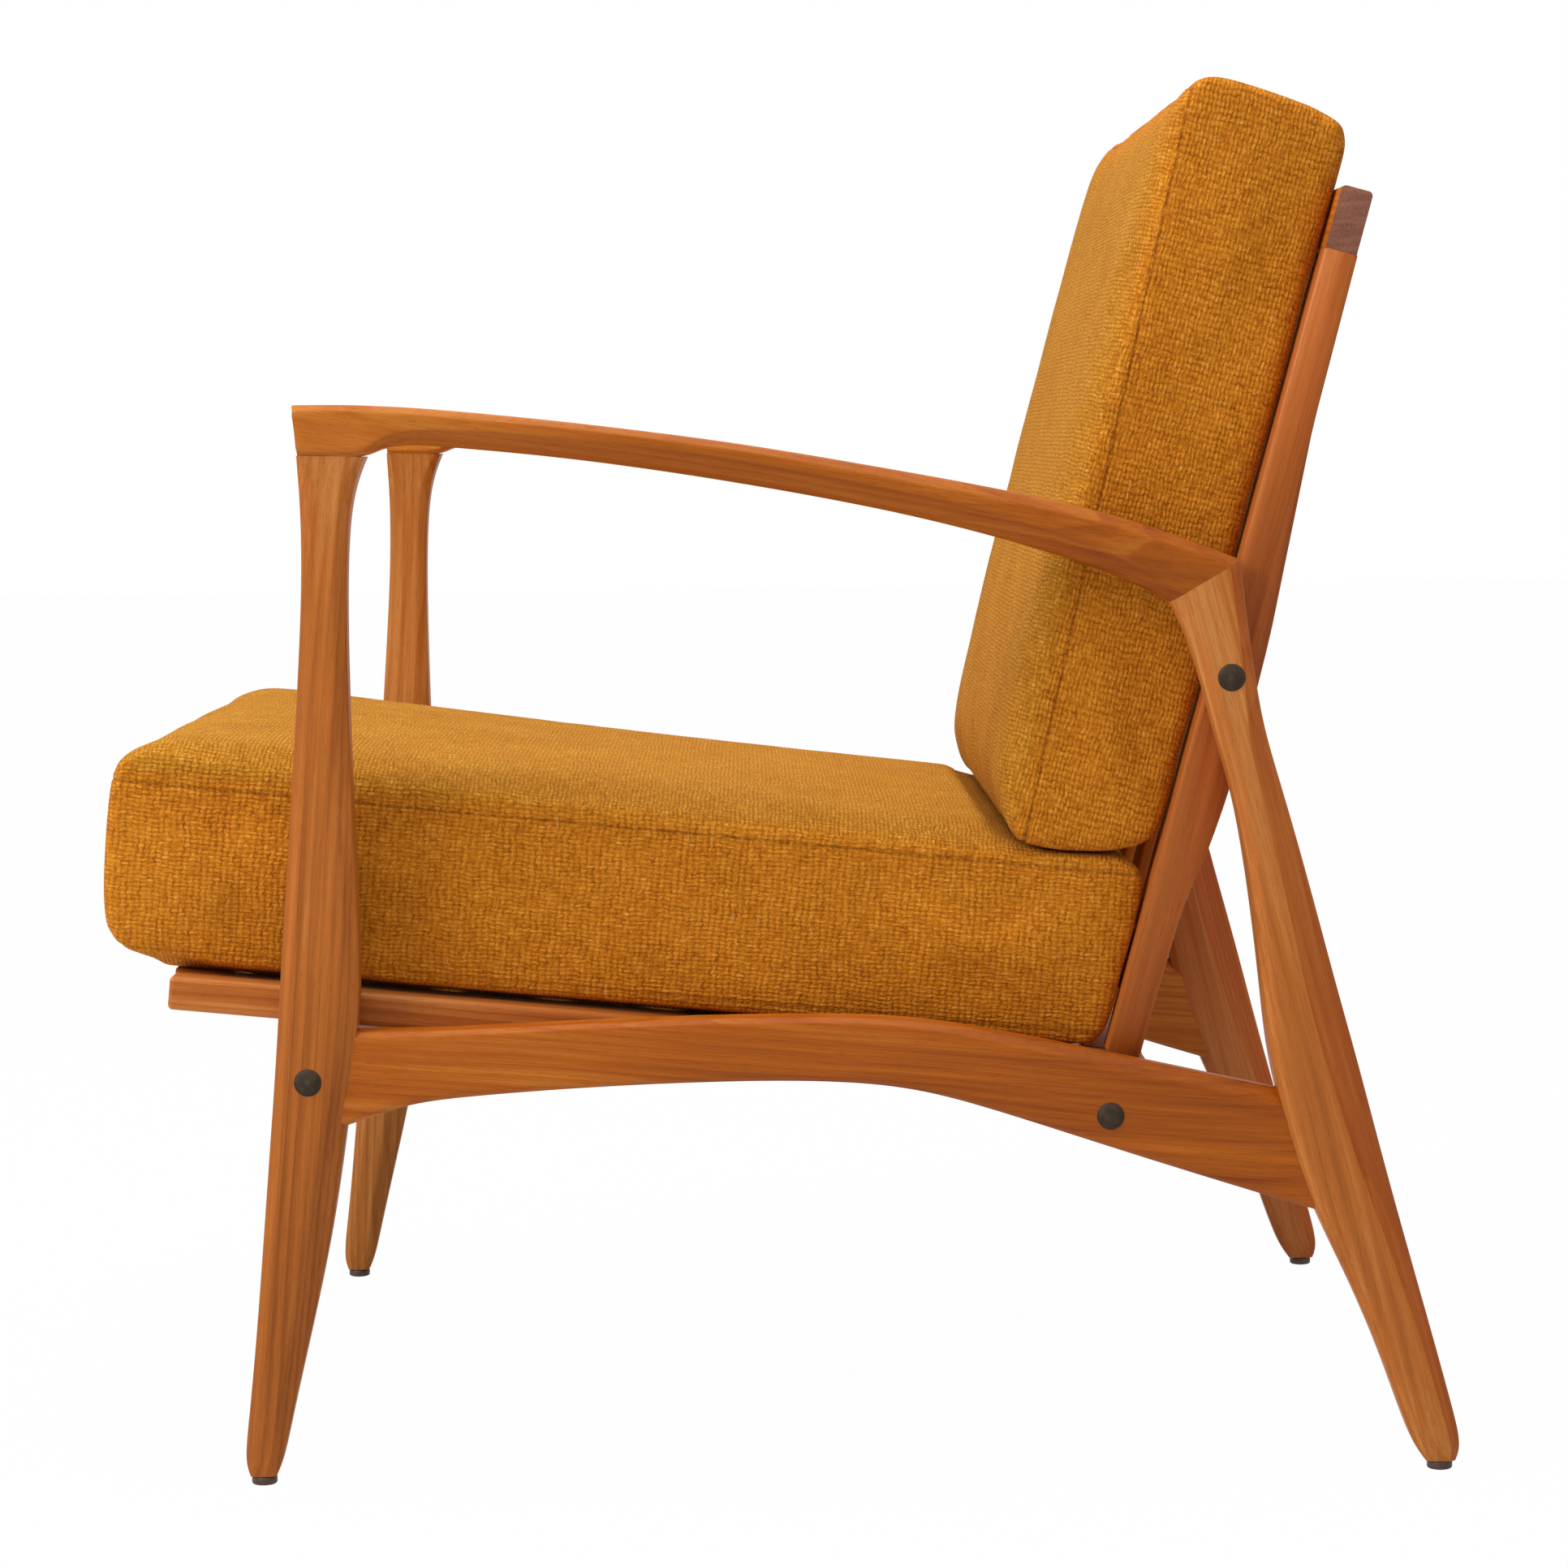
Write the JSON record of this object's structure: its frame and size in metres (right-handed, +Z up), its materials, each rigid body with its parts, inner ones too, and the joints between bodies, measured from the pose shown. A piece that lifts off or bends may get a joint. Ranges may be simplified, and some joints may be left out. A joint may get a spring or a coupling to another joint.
{
  "type": "armchair",
  "caption": "Wooden armchair with sculpted side frames, a sloped seat frame, a slatted leaning back and loose seat and back cushions.",
  "frame": {"origin": "on the floor, under the middle of the chair's whole box", "axes": "+Z up, -Y the way the sitter faces, +X towards the sitter's left arm; the chair is the same on both sides of X = 0"},
  "size_m": [0.6864, 0.8003, 0.8136],
  "materials": {
    "frame_wood": "satin oiled hardwood",
    "pale_wood": "plain softwood",
    "dowel_wood": "fluted beech",
    "upholstery": "ochre basket weave",
    "foam": "open-cell foam",
    "webbing": "woven elastic webbing",
    "zinc_steel": "zinc plated",
    "cap_bronze": "dark bronzed",
    "glide_plastic": "dark brown"
  },
  "bodies": {
    "chair_frame": {"back_bolts": "zinc_steel", "back_dowels": "dowel_wood", "back_slat_1": "frame_wood", "back_slat_2": "frame_wood", "back_slat_3": "frame_wood", "back_slat_4": "frame_wood", "back_slat_5": "frame_wood", "back_slat_6": "frame_wood", "barrel_nuts": "zinc_steel", "bearer_bolts": "zinc_steel", "bolt_caps": "cap_bronze", "crest_rail": "frame_wood", "foot_glides": "glide_plastic", "front_bearer": "frame_wood", "left_armrest": "frame_wood", "left_batten": "pale_wood", "left_front_leg": "frame_wood", "left_rear_leg": "frame_wood", "left_seat_rail": "frame_wood", "left_side_dowels": "dowel_wood", "left_side_rail": "frame_wood", "left_stile": "frame_wood", "lower_back_rail": "frame_wood", "rear_bearer": "frame_wood", "right_armrest": "frame_wood", "right_batten": "pale_wood", "right_front_leg": "frame_wood", "right_rear_leg": "frame_wood", "right_seat_rail": "frame_wood", "right_side_dowels": "dowel_wood", "right_side_rail": "frame_wood", "right_stile": "frame_wood", "seat_dowels": "dowel_wood", "seat_front_rail": "frame_wood", "seat_rear_rail": "frame_wood", "seat_straps": "webbing", "stile_inserts": "zinc_steel"},
    "seat_cushion": {"seat_cushion_cover": "upholstery", "seat_cushion_core": "foam"},
    "back_cushion": {"back_cushion_cover": "upholstery", "back_cushion_core": "foam"}
  },
  "joints": [
    {"name": "seat_cushion_lift_out", "type": "slide", "parent": "chair_frame", "child": "seat_cushion", "axis": [0, -0.9951, 0.0993], "range_m": [0, 0.65]},
    {"name": "back_cushion_lift_off", "type": "slide", "parent": "chair_frame", "child": "back_cushion", "axis": [0, 0.2656, 0.9641], "range_m": [0, 0.5]}
  ]
}
